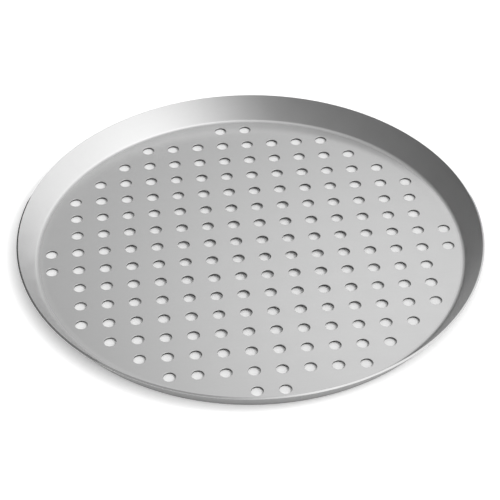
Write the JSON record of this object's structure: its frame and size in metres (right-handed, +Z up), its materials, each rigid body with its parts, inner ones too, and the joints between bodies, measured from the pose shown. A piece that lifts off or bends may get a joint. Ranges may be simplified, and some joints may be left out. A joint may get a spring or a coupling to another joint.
{
  "type": "perforated pizza pan",
  "caption": "Round aluminium pizza pan: a low flared wall around a slightly crowned floor punched with rows of round vent holes.",
  "frame": {"origin": "centre of the resting ring, on the plane that the pan rests on", "axes": "+Z up, out of the open side; the rows of holes run along X and Y"},
  "size_m": [0.3338, 0.3338, 0.0186],
  "materials": {
    "aluminium": "satin sheet, finely brushed along one row direction, with a smoother drawn wall"
  },
  "bodies": {
    "root": {"pan": "aluminium"}
  },
  "joints": []
}
